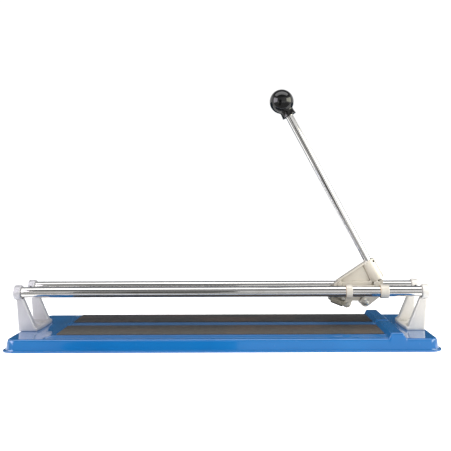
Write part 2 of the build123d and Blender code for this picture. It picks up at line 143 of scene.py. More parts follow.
def standing_sheet(start, end, low, high, lean=0.0):
    """Corners of a sheet that stands over a line, with its top moved along Y by the lean."""
    return [(*start, low), (*end, low), (end[0], end[1] + lean, high), (start[0], start[1] + lean, high)]


def glowing(name, level):
    """Paper that glows evenly, so that it holds its tone in every reflection."""
    paper = bpy.data.materials.new(name)
    paper.use_nodes = True
    shader = paper.node_tree.nodes["Principled BSDF"]
    shader.inputs["Base Color"].default_value = (0, 0, 0, 1)
    shader.inputs["Roughness"].default_value = 1
    shader.inputs["Emission Color"].default_value = (*level, 1)
    shader.inputs["Emission Strength"].default_value = 1
    return paper


def make_card(name, corners, level):
    """Studio card that only glossy surfaces see."""
    mesh = bpy.data.meshes.new(name)
    mesh.from_pydata(corners, [], [(0, 1, 2, 3)])
    mesh.materials.append(glowing(name, level))
    card = bpy.data.objects.new(name, mesh)
    scene.collection.objects.link(card)
    card.visible_camera = False
    card.visible_diffuse = False
    card.visible_shadow = False


def make_floor():
    """Pale floor, bright enough to run into the background."""
    reach = 14.0
    mesh = bpy.data.meshes.new("floor")
    mesh.from_pydata(level_sheet(-reach, reach, -reach, reach, 0), [], [(0, 1, 2, 3)])
    floor = bpy.data.objects.new("floor", mesh)
    scene.collection.objects.link(floor)
    paper = bpy.data.materials.new("paper")
    paper.use_nodes = True
    shader = paper.node_tree.nodes["Principled BSDF"]
    shader.inputs["Base Color"].default_value = (0.9, 0.9, 0.9, 1)
    shader.inputs["Roughness"].default_value = 0.9
    shader.inputs["Emission Color"].default_value = (1, 1, 1, 1)
    shader.inputs["Emission Strength"].default_value = 0.72
    mesh.materials.append(paper)


def make_cards():
    """Bright and dark cards round the object, which give its glossy parts their bands."""
    wide = 1.5
    dark_strip = [
        (-0.38, -1.29, 0.004),
        (-0.06, -1.29, 0.004),
        (-0.02, -0.35, 0.004),
        (-0.24, -0.35, 0.004),
    ]
    cards = {
        "back_card": (standing_sheet((-wide, 0.42), (wide, 0.42), 0.002, 0.4, 0.08), (0.03, 0.07, 0.12)),
        "front_floor_card": (level_sheet(-wide, wide, -1.3, -0.12, 0.002), (0.36, 0.36, 0.36)),
        "camera_side_card": (standing_sheet((-0.6, -1.3), (0.0, -1.3), 0.004, 0.62), (0.06, 0.06, 0.055)),
        "dark_floor_card": (dark_strip, (0.03, 0.03, 0.028)),
        "overhead_card": (level_sheet(-1.1, 1.1, -0.6, 0.2, 1.5), (2.6, 2.6, 2.6)),
        "left_card": (standing_sheet((-0.95, -1.1), (-1.0, -0.1), 0.22, 0.95), (5.0, 4.8, 5.3)),
        "right_card": (standing_sheet((1.1, -1.05), (1.2, 0.1), 0.3, 0.95), (5.5, 5.5, 4.6)),
    }
    for name, (corners, level) in cards.items():
        make_card(name, corners, level)


def make_world():
    """White surround near the horizon, a darker ceiling, and a greyer side behind the camera.

    That side is darkest on its left.
    """
    world = bpy.data.worlds.new("surround")
    scene.world = world
    world.use_nodes = True
    tree = world.node_tree
    coords = tree.nodes.new("ShaderNodeTexCoord")
    split = tree.nodes.new("ShaderNodeSeparateXYZ")
    put(tree, split.inputs[0], coords.outputs["Generated"])
    sky = colour_ramp(tree, split.outputs["Z"], 0.42, 0.66, (1.04, 1.04, 1.04), (0.2, 0.2, 0.21))
    behind_camera = map_range(tree, split.outputs["X"], -0.35, 0.35, 0.45, 0.8)
    side = map_range(tree, split.outputs["Y"], -0.9, 0.2, behind_camera, 1.0)
    shaded = mix_colours(tree, 1.0, sky, side, "MULTIPLY")
    put(tree, tree.nodes["Background"].inputs["Color"], shaded)


def make_lights():
    """One long lamp over the camera, a fill at each side and one overhead."""
    target = (0.05, 0, 0.08)
    white = (1, 1, 1)
    warm = (1.0, 0.975, 0.94)
    cool = (0.95, 0.97, 1.0)
    area_light("key_strip", (0.25, -1.2, 1.35), target, (2.4, 0.5), 14.8, white)
    area_light("right_fill", (1.05, -0.75, 0.5), (0.26, 0, 0.07), (0.6, 0.6), 3.2, warm)
    area_light("left_fill", (-1.5, -0.7, 0.6), (-0.2, 0, 0.05), (0.8, 0.8), 2, cool)
    area_light("top_fill", (0.25, -0.1, 1.5), (0.1, 0, 0), (1.6, 0.8), 9, white)


scene.view_settings.view_transform = "Standard"
scene.view_settings.look = "None"
make_floor()
make_cards()
make_world()
make_lights()


# ---------------------------------------------------------------- materials
class Finish:
    """A Principled material with texture nodes in the piece's own space, in metres."""

    def __init__(self, name, colour, roughness, metallic=0.0):
        self.material = bpy.data.materials.new(name)
        self.material.use_nodes = True
        self.tree = self.material.node_tree
        self.shader = self.tree.nodes["Principled BSDF"]
        self.feed("Base Color", colour)
        self.feed("Roughness", roughness)
        self.feed("Metallic", metallic)
        self.coords = self.tree.nodes.new("ShaderNodeTexCoord").outputs["Object"]
        self.surface_normal = None

    def feed(self, socket, value):
        """Gives the shader an output, a number or a colour."""
        put(self.tree, self.shader.inputs[socket], value)

    def noise(self, scale, detail, stretch=(1, 1, 1)):
        """Cloudy value about 0.5."""
        spread = self.tree.nodes.new("ShaderNodeMapping")
        spread.inputs["Scale"].default_value = stretch
        put(self.tree, spread.inputs["Vector"], self.coords)
        texture = self.tree.nodes.new("ShaderNodeTexNoise")
        texture.inputs["Scale"].default_value = scale
        texture.inputs["Detail"].default_value = detail
        texture.inputs["Roughness"].default_value = 0.55
        put(self.tree, texture.inputs["Vector"], spread.outputs["Vector"])
        return texture.outputs["Fac"]

    def cells(self, scale):
        """Distance to the nearest of scattered points."""
        texture = self.tree.nodes.new("ShaderNodeTexVoronoi")
        texture.inputs["Scale"].default_value = scale
        put(self.tree, texture.inputs["Vector"], self.coords)
        return texture.outputs["Distance"]

    def place(self):
        """The piece's own x, y and z."""
        split = self.tree.nodes.new("ShaderNodeSeparateXYZ")
        put(self.tree, split.inputs[0], self.coords)
        return split.outputs

    def calculate(self, operation, *values):
        """Result of a Math node."""
        node = self.tree.nodes.new("ShaderNodeMath")
        node.operation = operation
        for socket, value in zip(node.inputs, values):
            put(self.tree, socket, value)
        return node.outputs[0]

    def ramp(self, value, low, high, low_colour, high_colour):
        """From one colour to another as the value goes from low to high."""
        return colour_ramp(self.tree, value, low, high, low_colour, high_colour)

    def spread(self, value, from_low, from_high, to_low, to_high):
        """The value carried from one range to another, held at both ends."""
        return map_range(self.tree, value, from_low, from_high, to_low, to_high)

    def mix(self, factor, a, b):
        """Colour a at factor 0, colour b at factor 1."""
        return mix_colours(self.tree, factor, a, b)

    def edges(self, low, high):
        """0 to 1 as the pointiness goes from low to high. Outer edges lie over 0.5, corners under it."""
        curvature = self.tree.nodes.new("ShaderNodeNewGeometry").outputs["Pointiness"]
        return self.spread(curvature, low, high, 0.0, 1.0)

    def bump(self, value, distance, strength):
        """Relief of that depth in metres, over any relief added before."""
        bump = self.tree.nodes.new("ShaderNodeBump")
        bump.inputs["Distance"].default_value = distance
        bump.inputs["Strength"].default_value = strength
        put(self.tree, bump.inputs["Height"], value)
        if self.surface_normal is not None:
            put(self.tree, bump.inputs["Normal"], self.surface_normal)
        self.surface_normal = bump.outputs["Normal"]
        self.feed("Normal", self.surface_normal)


def scaled(colour, share):
    """A darker or brighter shade of a colour."""
    return tuple(share * c for c in colour)


def enamel():
    """Glossy blue baked enamel: faint orange peel, fading, chipped edges, a duller and darker strip between
    the pads.
    """
    paint = Finish("blue_enamel", (0.002, 0.135, 0.395), 0.12)
    tone = paint.ramp(paint.noise(7, 2), 0.35, 0.7, (0.002, 0.122, 0.37), (0.003, 0.145, 0.415))
    dust = paint.spread(paint.noise(260, 4), 0.64, 0.78, 0.0, 0.07)
    tone = paint.mix(dust, tone, (0.3, 0.42, 0.55))
    chips = paint.spread(paint.noise(900, 3), 0.58, 0.68, 0.0, 1.0)
    worn = paint.calculate("MULTIPLY", paint.edges(0.56, 0.7), chips)
    tone = paint.mix(worn, tone, (0.22, 0.36, 0.5))
    place = paint.place()
    off_centre = paint.calculate("ABSOLUTE", place["Y"])
    between_pads = paint.spread(off_centre, 0.012, 0.015, 0.6, 0.0)
    left_of_ridge = paint.spread(place["X"], 0.228, 0.234, 1.0, 0.0)
    right_of_bracket = paint.spread(place["X"], -0.245, -0.235, 0.0, 1.0)
    dull_dark_strip = paint.calculate("MULTIPLY", between_pads, left_of_ridge)
    dull_dark_strip = paint.calculate("MULTIPLY", dull_dark_strip, right_of_bracket)
    paint.feed("Base Color", paint.mix(dull_dark_strip, tone, (0.02, 0.035, 0.05)))
    gloss = paint.spread(paint.noise(55, 5), 0.3, 0.75, 0.07, 0.16)
    paint.feed("Roughness", paint.calculate("ADD", gloss, dull_dark_strip))
    paint.feed("Coat Weight", paint.spread(dull_dark_strip, 0.0, 0.6, 0.8, 0.0))
    paint.feed("Coat Roughness", 0.03)
    paint.bump(paint.noise(420, 2), 0.00002, 0.35)
    paint.bump(paint.noise(26, 1), 0.0002, 0.25)
    return paint.material


def rubber(name, colour, dusty, front_light_and_patches=0.0):
    """Matt rubber with a fine grain, pale dust and, on a pad, orange-brown patches and a lighter, warmer
    tone towards the user, which is painted light for the front edge catching more light.
    """
    skin = Finish(name, colour, 0.7)
    tone = skin.ramp(skin.noise(40, 4), 0.3, 0.75, colour, scaled(colour, 1.35))
    if front_light_and_patches:
        # Painted light: the pad is made lighter and warmer towards its front edge, where it catches more
        # light.
        painted_front_light = skin.spread(skin.place()["Y"], -0.01, -0.075, 0.0, front_light_and_patches)
        tone = skin.mix(painted_front_light, tone, (0.075, 0.066, 0.05))
        patches = skin.spread(skin.noise(22, 4, (0.5, 1.6, 1)), 0.5, 0.72, 0.0, 0.5 * front_light_and_patches)
        tone = skin.mix(patches, tone, (0.13, 0.065, 0.035))
    grit = skin.spread(skin.noise(1400, 3), 0.56, 0.74, 0.0, dusty)
    skin.feed("Base Color", skin.mix(grit, tone, (0.42, 0.40, 0.37)))
    skin.feed("Roughness", skin.spread(skin.noise(90, 4), 0.3, 0.7, 0.5, 0.8))
    skin.feed("Sheen Weight", 0.04)
    skin.bump(skin.noise(2600, 3), 0.00006, 0.6)
    return skin.material


def casting(name, colour, roughness=0.42):
    """Die-cast alloy: satin skin, fine grain, flow marks, painted shade darkening its corners and hollows,
    rubbed edges.
    """
    alloy = Finish(name, colour, roughness, 0.28)
    tone = alloy.ramp(alloy.noise(60, 5, (1, 1, 0.4)), 0.3, 0.72, scaled(colour, 0.86), colour)
    # Painted shade: corners and hollows, picked out by their low pointiness, are darkened as if shadowed.
    corner_shade_colour = (0.22 * colour[0], 0.19 * colour[1], 0.16 * colour[2])
    tone = alloy.mix(alloy.edges(0.494, 0.46), tone, corner_shade_colour)
    rubbed = tuple(min(0.95, 1.15 * c) for c in colour)
    tone = alloy.mix(alloy.edges(0.52, 0.6), tone, rubbed)
    pits = alloy.spread(alloy.cells(1500), 0.05, 0.18, 0.7, 0.0)
    alloy.feed("Base Color", alloy.mix(pits, tone, scaled(colour, 0.6)))
    satin = alloy.spread(alloy.noise(140, 5), 0.3, 0.7, roughness - 0.07, roughness + 0.1)
    alloy.feed("Roughness", satin)
    alloy.bump(alloy.noise(1900, 4), 0.00008, 0.4)
    alloy.bump(alloy.noise(240, 2), 0.00022, 0.25)
    return alloy.material


def chrome(name):
    """Bright plating with a faint haze and a few dull spots."""
    plate = Finish(name, (0.74, 0.73, 0.71), 0.12, 1.0)
    spots = plate.noise(70, 5)
    plate.feed("Roughness", plate.spread(spots, 0.4, 0.78, 0.07, 0.11))
    plate.feed("Base Color", plate.ramp(spots, 0.5, 0.8, (0.76, 0.75, 0.73), (0.66, 0.64, 0.61)))
    return plate.material


def plated(name, colour, roughness):
    """Zinc-plated or oiled steel of small hardware."""
    steel = Finish(name, colour, roughness, 1.0)
    patch = steel.noise(160, 4)
    warm = (colour[0] * 1.02, colour[1] * 0.97, colour[2] * 0.86)
    steel.feed("Base Color", steel.ramp(patch, 0.35, 0.7, colour, warm))
    wear = steel.spread(steel.noise(500, 4), 0.3, 0.7, roughness - 0.06, roughness + 0.12)
    steel.feed("Roughness", wear)
    steel.bump(steel.noise(3000, 2), 0.00002, 0.4)
    return steel.material


def phenolic():
    """Polished black knob with a faint mould haze."""
    black = Finish("black_phenolic", (0.003, 0.003, 0.003), 0.08)
    black.feed("Roughness", black.spread(black.noise(80, 5), 0.4, 0.75, 0.05, 0.13))
    haze = black.spread(black.noise(900, 3), 0.66, 0.78, 0.0, 0.05)
    black.feed("Base Color", black.mix(haze, (0.003, 0.003, 0.003), (0.08, 0.08, 0.08)))
    black.feed("Coat Weight", 0.1)
    black.feed("Coat Roughness", 0.03)
    black.bump(black.noise(45, 1), 0.0002, 0.25)
    return black.material


def nylon():
    """Undyed nylon, a little cloudy."""
    plain = Finish("natural_nylon", (0.72, 0.70, 0.62), 0.45)
    cloud = plain.noise(120, 3)
    plain.feed("Base Color", plain.ramp(cloud, 0.3, 0.7, (0.66, 0.64, 0.56), (0.76, 0.74, 0.67)))
    plain.feed("Subsurface Weight", 0.1)
    plain.bump(plain.noise(1800, 3), 0.00004, 0.5)
    return plain.material


BLUE = enamel()
PAD_RUBBER = rubber("pad_rubber", (0.018, 0.018, 0.019), 0.12, 0.75)
FOOT_RUBBER = rubber("foot_rubber", (0.02, 0.02, 0.02), 0.2)
# Painted light and shade: the two brackets are the same casting, but the left one gets a darker, cooler
# alloy and the right one a brighter, warmer alloy, for the stronger light on the right.
LEFT_ALLOY_PAINTED_SHADE = casting("left_bracket_alloy_painted_shade", (0.56, 0.55, 0.58))
RIGHT_ALLOY_PAINTED_LIGHT = casting("right_bracket_alloy_painted_light", (0.80, 0.77, 0.72))
CARRIAGE_ALLOY = casting("carriage_alloy", (0.64, 0.60, 0.53))
LEVER_ALLOY = casting("lever_alloy", (0.72, 0.67, 0.58), 0.38)
# Painted shade: the breaker foot's alloy is much darker than the other castings', for the shade that falls
# on the foot.
FOOT_ALLOY_PAINTED_SHADE = casting("foot_alloy_painted_shade", (0.27, 0.25, 0.20), 0.3)
RAIL_CHROME = chrome("rail_chrome")
ROD_CHROME = chrome("rod_chrome")
ZINC = plated("bright_zinc", (0.72, 0.72, 0.70), 0.28)
DARK_STEEL = plated("black_oxide", (0.05, 0.05, 0.055), 0.42)
SPRING_STEEL = plated("spring_wire", (0.36, 0.36, 0.37), 0.3)
BRONZE = plated("oiled_bronze", (0.52, 0.33, 0.14), 0.38)
CARBIDE = plated("ground_carbide", (0.42, 0.42, 0.43), 0.22)
BLACK = phenolic()
NYLON = nylon()


# ---------------------------------------------------------------- mesh helpers
def dress(mesh, material, sharp):
    """Gives a mesh its material, smooth but for edges over the sharp angle in degrees."""
    mesh.materials.clear()
    mesh.materials.append(material)
    mesh.shade_smooth()
    mesh.set_sharp_from_angle(angle=math.radians(sharp))


def finish_piece(name, mesh, material, sharp):
    """Object of a dressed mesh."""
    dress(mesh, material, sharp)
    piece = bpy.data.objects.new(name, mesh)
    scene.collection.objects.link(piece)
    return piece


def mesh_of(name, points, faces):
    """Mesh of points in metres, with its doubles welded and its faces turned outwards."""
    mesh = bpy.data.meshes.new(name)
    mesh.from_pydata([tuple(p) for p in points], [], faces)
    mesh.validate()
    work = bmesh.new()
    work.from_mesh(mesh)
    bmesh.ops.remove_doubles(work, verts=work.verts, dist=1e-7)
    bmesh.ops.recalc_face_normals(work, faces=work.faces)
    work.to_mesh(mesh)
    work.free()
    return mesh


def turned(name, rings, start, axis, material, steps=96, sharp=35.0):
    """Solid of revolution from a closed loop of rings, each (radius, distance along the axis), in mm.

    A radius may be a function of the angle. Rings of radius 0 close the ends.
    """
    start = Vector(start)
    axis = Vector(axis).normalized()
    helper = Vector((0, 1, 0)) if abs(axis.y) < 0.9 else Vector((1, 0, 0))
    first = axis.cross(helper).normalized()
    second = axis.cross(first)
    points = []
    for radius, height in rings:
        for i in range(steps):
            angle = 2 * math.pi * i / steps
            reach = radius(angle) if callable(radius) else radius
            across = math.cos(angle) * first + math.sin(angle) * second
            points.append((start + axis * height + reach * across) * MM)
    faces = []
    for j in range(len(rings)):
        k = (j + 1) % len(rings)
        for i in range(steps):
            n = (i + 1) % steps
            faces.append((j * steps + i, j * steps + n, k * steps + n, k * steps + i))
    return finish_piece(name, mesh_of(name, points, faces), material, sharp)


def joined(name, pieces):
    """Several pieces as one object."""
    with bpy.context.temp_override(
        active_object=pieces[0], selected_editable_objects=pieces, selected_objects=pieces
    ):
        bpy.ops.object.join()
    pieces[0].name = name
    pieces[0].data.name = name
    return pieces[0]


def rounded(radius, along, corner, rising):
    """Rings of a bar's rounded edge: side to end at the far end (rising), end to side at the near one."""
    steps = 4
    ring = []
    for i in range(steps + 1):
        angle = math.pi / 2 * i / steps
        side = corner * (1 - math.cos(angle))
        end = corner * (1 - math.sin(angle))
        ring.append((radius - side, along - end if rising else along + end))
    return ring if rising else ring[::-1]


def stand_for(piece, node, body):
    """Lets a piece take the place of a CAD node on its body."""
    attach(piece, body)
    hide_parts(node)


def apply_modifiers(piece):
    """Makes the modified shape of a piece its own mesh."""
    bpy.context.view_layer.update()
    graph = bpy.context.evaluated_depsgraph_get()
    shape = bpy.data.meshes.new_from_object(piece.evaluated_get(graph))
    piece.modifiers.clear()
    piece.data = shape
    return shape


def cast_from(name, node, voxel, passes, material, body):
    """The CAD solid with the soft edges and filled corners of a casting."""
    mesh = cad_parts[node].data.copy()
    piece = bpy.data.objects.new(name, mesh)
    scene.collection.objects.link(piece)
    weld = piece.modifiers.new("weld", "WELD")
    weld.merge_threshold = 1e-6
    remesh = piece.modifiers.new("remesh", "REMESH")
    remesh.mode = "VOXEL"
    remesh.voxel_size = voxel
    smooth = piece.modifiers.new("smooth", "SMOOTH")
    smooth.factor = 0.5
    smooth.iterations = passes
    lighter = piece.modifiers.new("lighter", "DECIMATE")
    lighter.ratio = 0.4
    dress(apply_modifiers(piece), material, 60)
    bpy.data.meshes.remove(mesh)
    stand_for(piece, node, body)


def steps_between(stops):
    """Even steps between stops, given as (value, step up to the next value)."""
    values = []
    for (a, step), (b, _) in zip(stops, stops[1:]):
        count = max(1, round((b - a) / step))
        values += [a + (b - a) * i / count for i in range(count)]
    return values + [stops[-1][0]]


def smoothstep(a, b, value):
    """0 up to a, 1 from b on, and a soft rise between."""
    t = min(1.0, max(0.0, (value - a) / (b - a)))
    return t * t * (3 - 2 * t)


def grid_faces(columns, rows):
    """Faces of a grid of points, listed column by column."""
    faces = []
    for i in range(columns - 1):
        for j in range(rows - 1):
            a = i * rows + j
            faces.append((a, a + rows, a + rows + 1, a + 1))
    return faces


def grid_border(columns, rows):
    """Points of the same grid's border, once round."""
    last = columns - 1
    near = [i * rows for i in range(last)]
    right = [last * rows + j for j in range(rows - 1)]
    far = [i * rows + rows - 1 for i in range(last, 0, -1)]
    left = list(range(rows - 1, 0, -1))
    return near + right + far + left


def band(below, above):
    """Faces between two closed loops of points."""
    faces = []
    for k in range(len(below)):
        n = (k + 1) % len(below)
        faces.append((below[k], below[n], above[n], above[k]))
    return faces


# ---------------------------------------------------------------- base
DECK = 18.0
BED = 20.5
RIDGE = 26.0
EDGE = 4.0
WALL_SLOPE = math.tan(math.radians(8.5))
WALL_FOOT = (310.0, 93.0)
WALL_CORNER = 16.0
FLANGE = (314.0, 95.0)
FLANGE_TOP = 2.2
SHEET = 1.6
# Vectors are in single precision, so points within this many millimetres count as the same.
NEAR = 1e-3


def ridge_share(x):
    """1 on the cross ridge, 0 off it. The ridge runs from rim to rim."""
    return smoothstep(235.0, 240.3, x) * (1 - smoothstep(255.6, 262.6, x))


def pressed_height(x, y):
    """Height of the pressed sheet's top, in millimetres."""
    side = 1 - smoothstep(72, 86, abs(y))
    bed = smoothstep(-264, -242, x) * (1 - smoothstep(250, 262, x)) * side
    height = DECK + (BED - DECK) * bed
    ridge = ridge_share(x)
    notch = 1 - smoothstep(3.6, 5.2, abs(y))
    ridge_top = RIDGE - 3.5 * notch
    height += (ridge_top - height) * ridge
    rib = (1 - smoothstep(1.2, 4.7, abs(y))) * smoothstep(-240.5, -235, x) * (1 - smoothstep(233, 238, x))
    return height + 2.5 * rib * (1 - ridge)


def rounded_corner(x, y, half, corner):
    """A point of a square-cornered sheet carried to the round-cornered one."""
    u = (abs(x) - (half[0] - corner)) / corner
    v = (abs(y) - (half[1] - corner)) / corner
    if u <= 0 or v <= 0:
        return x, y
    reach = corner * max(u, v)
    angle = v / u * math.pi / 4 if u >= v else math.pi / 2 - u / v * math.pi / 4
    px = half[0] - corner + reach * math.cos(angle)
    py = half[1] - corner + reach * math.sin(angle)
    return math.copysign(px, x), math.copysign(py, y)


def wall_profile():
    """Rings from the deck's rim to the hem: growth along x and y from the deck sheet, and height."""
    top = [WALL_FOOT[i] - DECK * WALL_SLOPE for i in range(2)]
    rings = []
    for i in range(1, 7):
        angle = math.radians(81.5) * i / 6
        grow = EDGE * math.sin(angle) * 1.02
        rings.append((grow, grow, DECK - EDGE * (1 - math.cos(angle))))
    for z in (12.8, 8.0, 5.0, 3.9):
        grow = EDGE + (DECK - z) * WALL_SLOPE
        rings.append((grow, grow, z))
    foot_x = WALL_FOOT[0] - top[0] + EDGE
    foot_y = WALL_FOOT[1] - top[1] + EDGE
    out_x = FLANGE[0] - top[0] + EDGE
    out_y = FLANGE[1] - top[1] + EDGE
    rings.append((foot_x + 0.05, foot_y + 0.05, 2.7))
    rings.append((foot_x + 0.6, foot_y + 0.45, FLANGE_TOP))
    rings.append((out_x - 1.1, out_y - 0.9, FLANGE_TOP))
    rings.append((out_x - 0.35, out_y - 0.3, FLANGE_TOP - 0.3))
    rings.append((out_x, out_y, FLANGE_TOP - 1.0))
    rings.append((out_x, out_y, 0.35))
    rings.append((out_x - 0.15, out_y - 0.15, 0.02))
    return rings


def outward_at(point, half, corner):
    """Direction out of a round-cornered sheet at a point of its rim, as (x, y)."""
    u = abs(point.x) - (half[0] - corner)
    v = abs(point.y) - (half[1] - corner)
    on_the_end = abs(abs(point.x) - half[0]) < NEAR
    if u > 0 and v > 0:
        n = Vector((u, v)).normalized()
    else:
        n = Vector((1, 0)) if on_the_end else Vector((0, 1))
    return tuple(math.copysign(n[i], point[i]) if n[i] else 0.0 for i in range(2))


def make_base():
    """Pressed sheet: a deck with bed, rib and ridge, sloped walls and a flange round its foot."""
    half = [WALL_FOOT[i] - DECK * WALL_SLOPE - EDGE for i in range(2)]
    corner = WALL_CORNER - DECK * WALL_SLOPE - EDGE
    edge_x = half[0] - corner
    xs = steps_between(
        [(-half[0], 1.5), (-edge_x, 6), (-267, 1.5), (-239, 12), (232, 0.6), (243, 2), (254, 0.6),
         (265, 5), (edge_x, 1.5), (half[0], 1)]
    )
    ys = steps_between(
        [(-half[1], 1.3), (-71, 7), (-14, 2), (-6, 0.5), (6, 2), (14, 7), (71, 1.3), (half[1], 1)]
    )
    points = []
    for x in xs:
        for y in ys:
            px, py = rounded_corner(x, y, half, corner)
            points.append(Vector((px, py, pressed_height(px, py))))
    faces = grid_faces(len(xs), len(ys))
    loop = grid_border(len(xs), len(ys))
    rim = [points[index].copy() for index in loop]
    outward = [outward_at(point, half, corner) for point in rim]
    for grow_x, grow_y, z in wall_profile():
        start = len(points)
        lift = RIDGE - DECK if z > DECK - EDGE else 0.0
        for p, n in zip(rim, outward):
            rise = lift * ridge_share(p.x)
            points.append(Vector((p.x + n[0] * grow_x, p.y + n[1] * grow_y, z + rise)))
        current = list(range(start, len(points)))
        faces += band(loop, current)
        loop = current
    mesh = mesh_of("pressed_base", [p * MM for p in points], faces)
    piece = finish_piece("pressed_base", mesh, BLUE, 50)
    gauge = piece.modifiers.new("gauge", "SOLIDIFY")
    gauge.thickness = SHEET * MM
    gauge.offset = -1
    for vertex in apply_modifiers(piece).vertices:
        vertex.co.z = max(0.0, vertex.co.z)
    stand_for(piece, "base_plate", "root")


def make_pad(name, node):
    """Rubber sheet with fine ribs along the bed and soft edges."""
    low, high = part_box(node)
    rib_pitch = 2.4 * MM
    rib_depth = 0.28 * MM
    edge_drop = 0.5 * MM
    width = high.y - low.y
    length = (high.x - low.x) / MM
    ribs = round(width / rib_pitch)
    rows = ribs * 4 + 1
    # A station is (distance from the left end, how far each side is drawn in), in millimetres.
    stations = [(0.0, 1.3), (0.3, 0.6), (1.0, 0.15), (2.2, 0.0)]
    stations += [(length - x, y) for x, y in reversed(stations)]
    points = []
    for x, shrink in stations:
        for i in range(rows):
            share = i / (rows - 1)
            y = low.y + shrink * MM + share * (width - 2 * shrink * MM)
            wave = 0.5 + 0.5 * math.cos(2 * math.pi * share * ribs)
            z = high.z - rib_depth * (1 - wave)
            if x in (0.0, length) or i in (0, rows - 1):
                z = high.z - edge_drop
            points.append(Vector((low.x + x * MM, y, z)))
    faces = grid_faces(len(stations), rows)
    loop = grid_border(len(stations), rows)
    foot = list(range(len(points), len(points) + len(loop)))
    points += [Vector((points[index].x, points[index].y, low.z)) for index in loop]
    faces += band(loop, foot)
    faces.append(tuple(reversed(foot)))
    piece = finish_piece(name, mesh_of(name, points, faces), PAD_RUBBER, 40)
    stand_for(piece, node, "root")


# ---------------------------------------------------------------- rails
def make_rail(name, node):
    """Chromed bar with rounded ends and a turning centre in each."""
    low, high = [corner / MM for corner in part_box(node)]
    radius = (high.z - low.z) / 2
    centre = (low + high) / 2
    start = (low.x, centre.y, centre.z)
    length = high.x - low.x
    corner = 1.1
    flat = radius - 1.6
    dimple = 1.2
    dish = 0.15
    parts = 12
    rings = [(0, dimple), (dimple, dish), (flat, 0)]
    rings += rounded(radius, 0, corner, False)
    rings += [(radius, length * i / parts) for i in range(1, parts)]
    rings += rounded(radius, length, corner, True)
    rings += [(flat, length), (dimple, length - dish), (0, length - dimple)]
    piece = turned(name, rings, start, ALONG_X, RAIL_CHROME, 128)
    stand_for(piece, node, "root")


# ---------------------------------------------------------------- small hardware
def hexagon(flats, limit, turn=0.0):
    """Radius of a hexagon over the angle, cut off at that share of its half width."""

    def radius(angle):
        off = (angle - math.radians(turn) + math.pi / 6) % (math.pi / 3) - math.pi / 6
        return min(flats / 2 / math.cos(off), limit * flats / 2)

    return radius


def nut(name, flats, bore, height, start, axis, turn=0.0):
    """Hexagon nut, chamfered at both ends."""
    rings = [
        (bore + 0.35, 0),
        (0.97 * flats / 2, 0),
        (hexagon(flats, 1.05, turn), 0.22),
        (hexagon(flats, 1.155, turn), 0.85),
        (hexagon(flats, 1.155, turn), height - 0.85),
        (hexagon(flats, 1.05, turn), height - 0.22),
        (0.97 * flats / 2, height),
        (bore + 0.35, height),
        (bore, height - 0.35),
        (bore, 0.35),
    ]
    return turned(name, rings, start, axis, ZINC, 96, 25)


def washer(name, bore, radius, height, start, axis, material):
    """Flat ring with broken edges. Bushes are made with it too."""
    cut = min(0.25, height / 3)
    rings = [
        (bore, cut),
        (bore + cut, 0),
        (radius - cut, 0),
        (radius, cut),
        (radius, height - cut),
        (radius - cut, height),
        (bore + cut, height),
        (bore, height - cut),
    ]
    return turned(name, rings, start, axis, material, 96, 25)


def thread(radius, start, end, pitch):
    """Rings of a screw thread."""
    turns = round((end - start) / pitch)
    rings = []
    for i in range(turns):
        rings.append((radius, start + pitch * (i + 0.15)))
        rings.append((radius - 0.55 * pitch, start + pitch * (i + 0.55)))
    return rings + [(radius, start + pitch * (turns + 0.05))]


def grub_screw(name, radius, length, flats, start, axis):
    """Headless screw with a hexagon socket in its outer end."""
    rings = [(0, 0), (radius - 0.45, 0)]
    rings += thread(radius, 0.35, length - 0.45, 0.5)
    rings += [(radius - 0.3, length), (0.62 * flats, length)]
    rings += [(hexagon(flats, 1.13), length - 0.15), (hexagon(flats, 1.13), length - 1.4), (0, length - 1.7)]
    return turned(name, rings, start, axis, DARK_STEEL, 72, 25)


# ---------------------------------------------------------------- handle
LEAN = math.radians(28.45)
BALL = Vector((90.0, 0.0, 364.8))
DOWN = Vector((math.sin(LEAN), 0, -math.cos(LEAN)))
ROD_RADIUS = 6.0


def make_rod():
    """Chromed rod with broken ends and a fine groove above the lever's socket."""
    near_end = [(0, 4.0), (5.2, 4.0), (ROD_RADIUS, 4.8)]
    shank = [(ROD_RADIUS, 25.0 + 25 * i) for i in range(10)]
    groove = [(ROD_RADIUS, 277.2), (5.75, 277.5), (5.75, 278.2), (ROD_RADIUS, 278.5)]
    far_end = [(ROD_RADIUS, 308.2), (5.2, 309.0), (0, 309.0)]
    rings = near_end + shank + groove + far_end
    piece = turned("chromed_rod", rings, BALL, DOWN, ROD_CHROME)
    stand_for(piece, "handle_rod", "lever")


def make_knob():
    """Black ball that runs into a flared collar, bored for the rod."""
    radius = 18.5
    sweep = 139.0
    steps = 41
    rings = []
    for i in range(steps + 1):
        angle = math.radians(sweep * i / steps)
        rings.append((radius * math.sin(angle), -radius * math.cos(angle)))
    rings += [
        (11.5, 14.5), (10.95, 15.1), (10.6, 15.7), (10.42, 16.4), (10.4, 17.4), (10.5, 19.3), (10.75, 21.8),
        (11.05, 23.4), (11.25, 24.1), (11.3, 24.5), (11.15, 24.85), (10.8, 25.0), (7.1, 25.0), (6.6, 24.8),
        (6.1, 24.2), (6.02, 23.4), (6.02, 4.0), (0, 4.0),
    ]
    piece = turned("ball_and_collar", rings, BALL, DOWN, BLACK, 128, 50)
    stand_for(piece, "ball_knob", "lever")


def make_socket_screw():
    """Grub screw that clamps the rod in the lever's socket, turned towards the camera."""
    down_the_rod = 283.0
    turn = math.radians(45)
    across = Vector((math.cos(LEAN) * math.cos(turn), -math.sin(turn), math.sin(LEAN) * math.cos(turn)))
    start = BALL + DOWN * down_the_rod + across * ROD_RADIUS
    piece = grub_screw("socket_grub_screw", 2.0, 4.0, 2.6, start, across)
    stand_for(piece, "handle_set_screw", "lever")


# ---------------------------------------------------------------- wheel, pivot and pin
PIVOT_X, PIVOT_Z = 218, 57
WHEEL_X, WHEEL_Z = 191.5, 52.1
PIN_X, PIN_Z = 184, 61.5


